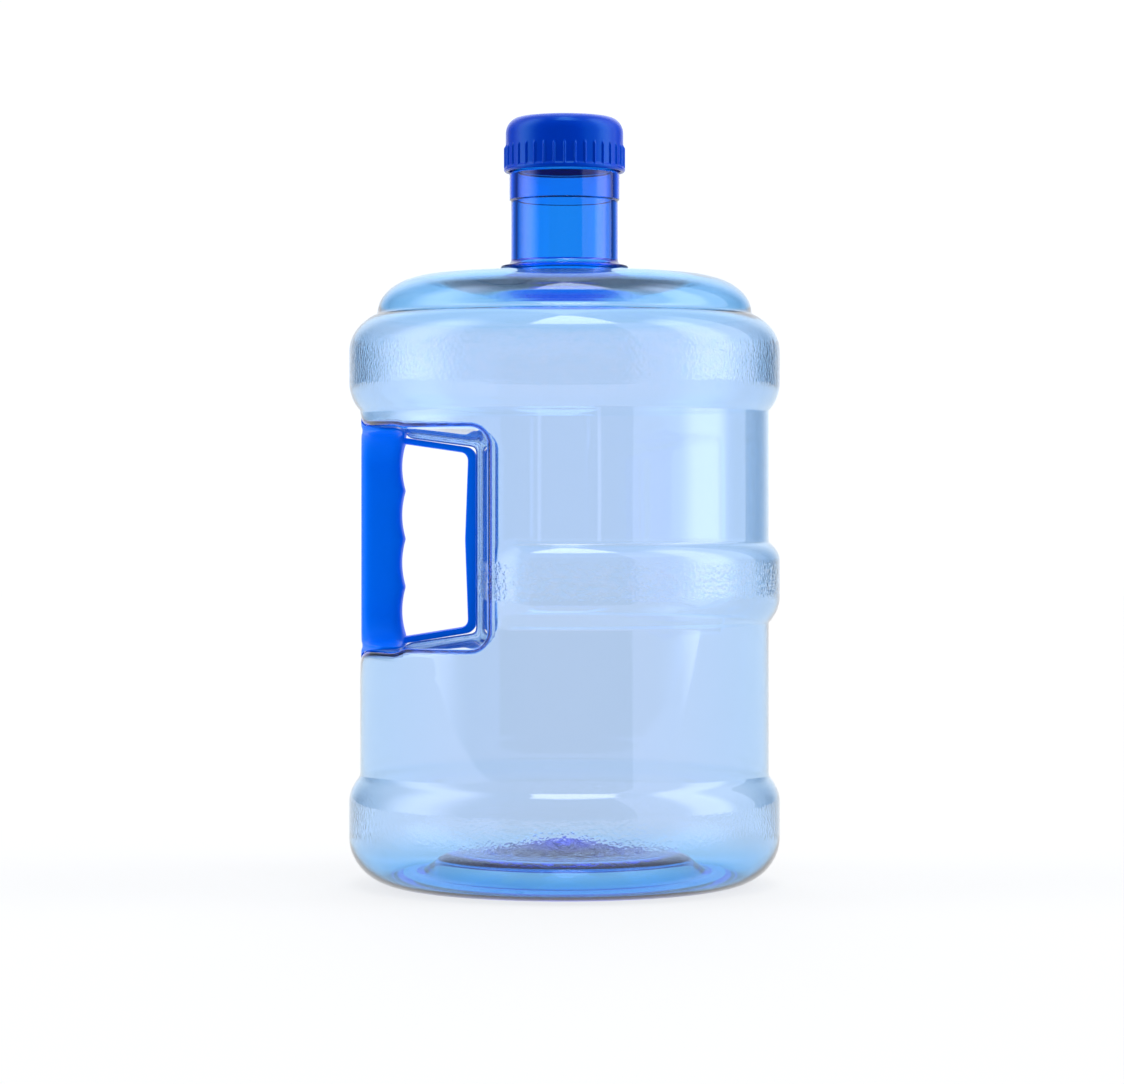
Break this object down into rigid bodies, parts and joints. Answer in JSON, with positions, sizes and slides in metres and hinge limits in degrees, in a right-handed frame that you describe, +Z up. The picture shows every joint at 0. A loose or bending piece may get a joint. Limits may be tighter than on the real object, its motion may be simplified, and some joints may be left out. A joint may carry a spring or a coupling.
{
  "type": "water jug",
  "caption": "Round transparent blue water jug with a side handle set in a pocket, a thick dispenser neck and a ribbed screw cap.",
  "frame": {"origin": "centre of the standing ring, on the table", "axes": "+Z up along the neck; the handle is on the -X side; +Y is towards the back"},
  "size_m": [0.215, 0.215, 0.383],
  "materials": {
    "tinted_wall": "clear pale blue, thin blown wall, glossy with a fine hammered texture on the bands",
    "tinted_neck": "the same clear blue plastic in a thick moulded neck, glossy",
    "handle_plastic": "opaque bright blue, satin gloss",
    "cap_plastic": "opaque royal blue, satin gloss",
    "gasket_foam": "white closed-cell foam"
  },
  "bodies": {
    "jug": {"bottle_body": "tinted_wall", "bottle_neck": "tinted_neck", "handle": "handle_plastic"},
    "gasket": {"cap_gasket": "gasket_foam"},
    "cap": {"cap_shell": "cap_plastic"}
  },
  "joints": [
    {"name": "cap_rise", "type": "slide", "parent": "jug", "child": "gasket", "axis": [0, 0, 1], "range_m": [0, 0.048]},
    {"name": "cap_turn", "type": "hinge", "parent": "gasket", "child": "cap", "pos_m": [0, 0, 0.37], "axis": [0, 0, 1], "range_deg": [0, 1440]}
  ],
  "couplings": [
    {"joint": "cap_rise", "follows": "cap_turn", "m_per_rad": 0.0019099}
  ]
}
